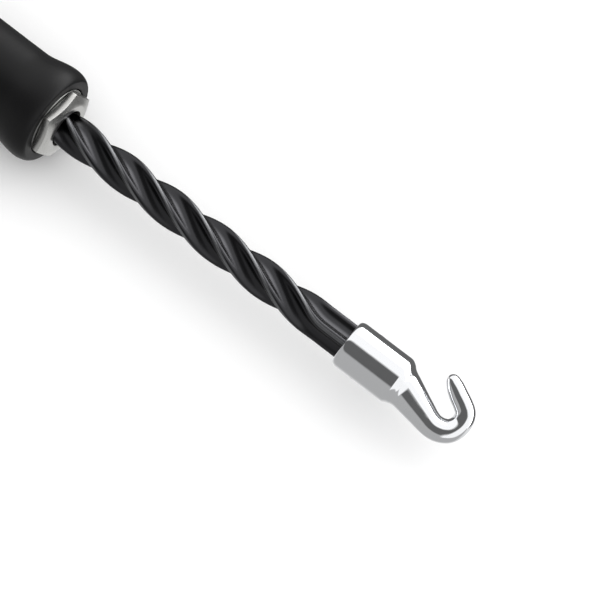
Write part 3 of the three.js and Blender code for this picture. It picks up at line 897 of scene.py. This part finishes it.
# ---- stage ----
class StageSettings(bpy.types.PropertyGroup):
    table_colour: FloatVectorProperty(
        name="Table colour", description="Colour of the pale table",
        default=linear("#fafafa"), size=3, min=0, max=1, subtype="COLOR")
    fill: FloatProperty(
        name="Fill light", description="Brightness of the soft light from all round",
        default=1.12, min=0, max=5)
    softbox: FloatProperty(
        name="Softbox", description="Brightness of the large softbox as polished metal shows it",
        default=1.1, min=0, max=5)
    lens: FloatProperty(
        name="Lens", description="Focal length of the camera in millimetres",
        default=77.4, min=20, max=300, subtype="DISTANCE_CAMERA")
    distance: FloatProperty(
        name="Camera distance", description="From the camera to the tool",
        default=0.324, min=0.1, max=5, unit="LENGTH", subtype="DISTANCE")


def studio_light(world, fill, softbox):
    """Even white light on everything, and for reflections a softbox, a grey table and dark gaps.

    What polished metal shows depends on the turn about the tool's axis, from across (0) to up (90).
    """
    world.use_nodes = True
    tree = world.node_tree
    tree.nodes.clear()
    where = add_node(tree, "ShaderNodeTexCoord")
    axes = add_node(tree, "ShaderNodeSeparateXYZ", {0: where.outputs["Generated"]})
    turn = add_node(
        tree, "ShaderNodeMath", {0: axes.outputs["Z"], 1: axes.outputs["Y"]}, operation="ARCTAN2")
    share = add_node(
        tree,
        "ShaderNodeMapRange",
        {"Value": turn.outputs[0], "From Min": -math.pi, "From Max": math.pi},
    )
    grey, dark, gap, white, strip = 0.42, 0.11, 0.13, 1.05, 4.5
    bands = [
        (-180, grey), (-115, grey), (-85, 0.75), (-58, 0.75), (-51, gap), (5, gap), (9, strip),
        (36, 3.6), (56, white), (92, white), (100, dark), (149, dark), (157, grey), (180, grey),
    ]
    ramp = add_node(
        tree,
        "ShaderNodeValToRGB",
        {"Fac": share.outputs[0]},
        stops=[((angle + 180) / 360, shade) for angle, shade in bands],
    )
    # the bright strip low at the side ends beside the grip, and a panel stands past the hook
    held = add_node(
        tree,
        "ShaderNodeMapRange",
        {"Value": axes.outputs["X"], "From Min": -0.38, "From Max": -0.12,
         "To Min": white, "To Max": strip},
    )
    kept = add_node(
        tree, "ShaderNodeMath", {0: ramp.outputs["Color"], 1: held.outputs[0]},
        operation="MINIMUM")
    beyond = add_node(
        tree,
        "ShaderNodeMapRange",
        {"Value": axes.outputs["X"], "From Min": 0.35, "From Max": 0.5},
    )
    above = add_node(
        tree,
        "ShaderNodeMapRange",
        {"Value": axes.outputs["Z"], "From Min": 0.0, "From Max": 0.15},
    )
    panel = add_node(
        tree, "ShaderNodeMath", {0: beyond.outputs[0], 1: above.outputs[0]},
        operation="MULTIPLY")
    shown = add_node(
        tree, "ShaderNodeMath", {0: kept.outputs[0], 1: panel.outputs[0]}, operation="MAXIMUM")
    lit = add_node(
        tree, "ShaderNodeBackground", {"Color": shown.outputs[0], "Strength": softbox})
    soft = add_node(tree, "ShaderNodeBackground", {"Color": (1, 1, 1, 1), "Strength": fill})
    path = add_node(tree, "ShaderNodeLightPath")
    mixed = add_node(
        tree,
        "ShaderNodeMixShader",
        {"Fac": path.outputs["Is Glossy Ray"], 1: soft.outputs[0], 2: lit.outputs[0]},
    )
    add_node(tree, "ShaderNodeOutputWorld", {"Surface": mixed.outputs[0]})


class TWISTER_OT_stage(bpy.types.Operator):
    """Set out the pale table, the studio light and the camera"""

    bl_idname = "twister.stage"
    bl_label = "Table, Light and Camera"

    def execute(self, context):
        settings = context.scene.twister_stage
        scene = context.scene
        scene.view_settings.view_transform = "Standard"

        paper, tree, shader = new_material(
            "matt_table_paper", Roughness=0.9, Base_Color=(*settings.table_colour, 1),
            Specular_IOR_Level=0.1)
        grain(tree, shader, 0.8, depth_mm=0.01)
        mesh = bpy.data.meshes.new("table")
        size = 12.0
        mesh.from_pydata(
            [(-size, -size, 0), (size, -size, 0), (size, size, 0), (-size, size, 0)], [],
            [(0, 1, 2, 3)])
        mesh.materials.append(paper)
        table = bpy.data.objects.new("table", mesh)
        table.location.z = -0.0002
        table.visible_glossy = False
        scene.collection.objects.link(table)

        world = bpy.data.worlds.new("studio")
        studio_light(world, settings.fill, settings.softbox)
        scene.world = world

        lamp = bpy.data.lights.new("softbox", "AREA")
        lamp.shape = "RECTANGLE"
        lamp.size, lamp.size_y = 1.4, 1.0
        lamp.energy = 2.5
        softbox = bpy.data.objects.new("softbox", lamp)
        softbox.location = (0.0, 0.7, 0.9)
        softbox.rotation_euler = (
            Vector((0, 0, 0.01)) - softbox.location).to_track_quat("-Z", "Y").to_euler()
        softbox.visible_glossy = False
        softbox.visible_camera = False
        scene.collection.objects.link(softbox)

        # the camera looks a little back along the tool, and is rolled to lay it across the frame
        tilt, roll = math.radians(5.9), math.radians(37.28)
        mouth = Vector((0, math.cos(HOOK_ANGLE), math.sin(HOOK_ANGLE)))
        facing = Vector((0, -math.sin(HOOK_ANGLE), math.cos(HOOK_ANGLE)))
        tool = Vector((1, 0, 0))
        back = tool * math.sin(tilt) + facing * math.cos(tilt)
        lengthwise = tool * math.cos(tilt) - facing * math.sin(tilt)
        right = lengthwise * math.cos(roll) + mouth * math.sin(roll)
        up = mouth * math.cos(roll) - lengthwise * math.sin(roll)
        target = Vector(place(77.0, 0, 0)) + mouth * 1.27 * MM
        camera = bpy.data.objects.new("camera", bpy.data.cameras.new("camera"))
        camera.data.lens = settings.lens
        camera.data.sensor_width = 36
        camera.data.clip_start = 0.01
        scene.collection.objects.link(camera)
        camera.matrix_world = Matrix.Translation(target + back * settings.distance) @ Matrix(
            (right, up, back)).transposed().to_4x4()
        scene.camera = camera
        return {"FINISHED"}


class TWISTER_PT_panel(bpy.types.Panel):
    """Lists the twister's pieces with their settings"""

    bl_idname = "TWISTER_PT_panel"
    bl_label = "Wire Tie Twister"
    bl_space_type = "VIEW_3D"
    bl_region_type = "UI"
    bl_category = "Wire Twister"

    def draw(self, context):
        for operator, group in STEPS:
            box = self.layout.box()
            box.operator(operator.bl_idname)
            settings = getattr(context.scene, group)
            for name in settings.bl_rna.properties.keys():
                if name not in ("rna_type", "name"):
                    box.prop(settings, name)


GROUPS = {
    "twister_grip": GripSettings,
    "twister_bush": BushSettings,
    "twister_shaft": ShaftSettings,
    "twister_hook": HookSettings,
    "twister_rear": RearSettings,
    "twister_spring": SpringSettings,
    "twister_inside": InsideSettings,
    "twister_stage": StageSettings,
}
STEPS = (
    (TWISTER_OT_grip, "twister_grip"),
    (TWISTER_OT_bush, "twister_bush"),
    (TWISTER_OT_shaft, "twister_shaft"),
    (TWISTER_OT_hook, "twister_hook"),
    (TWISTER_OT_rear_end, "twister_rear"),
    (TWISTER_OT_spring, "twister_spring"),
    (TWISTER_OT_inside, "twister_inside"),
    (TWISTER_OT_stage, "twister_stage"),
)


def register():
    for group, settings in GROUPS.items():
        bpy.utils.register_class(settings)
        setattr(bpy.types.Scene, group, PointerProperty(type=settings))
    for operator, _ in STEPS:
        bpy.utils.register_class(operator)
    bpy.utils.register_class(TWISTER_PT_panel)


def unregister():
    bpy.utils.unregister_class(TWISTER_PT_panel)
    for operator, _ in reversed(STEPS):
        bpy.utils.unregister_class(operator)
    for group, settings in GROUPS.items():
        delattr(bpy.types.Scene, group)
        bpy.utils.unregister_class(settings)


def main():
    register()
    bpy.ops.twister.grip()
    bpy.ops.twister.bush()
    bpy.ops.twister.shaft()
    bpy.ops.twister.hook()
    bpy.ops.twister.rear_end()
    bpy.ops.twister.spring()
    bpy.ops.twister.inside()
    bpy.ops.twister.stage()


if __name__ == "__main__":
    main()
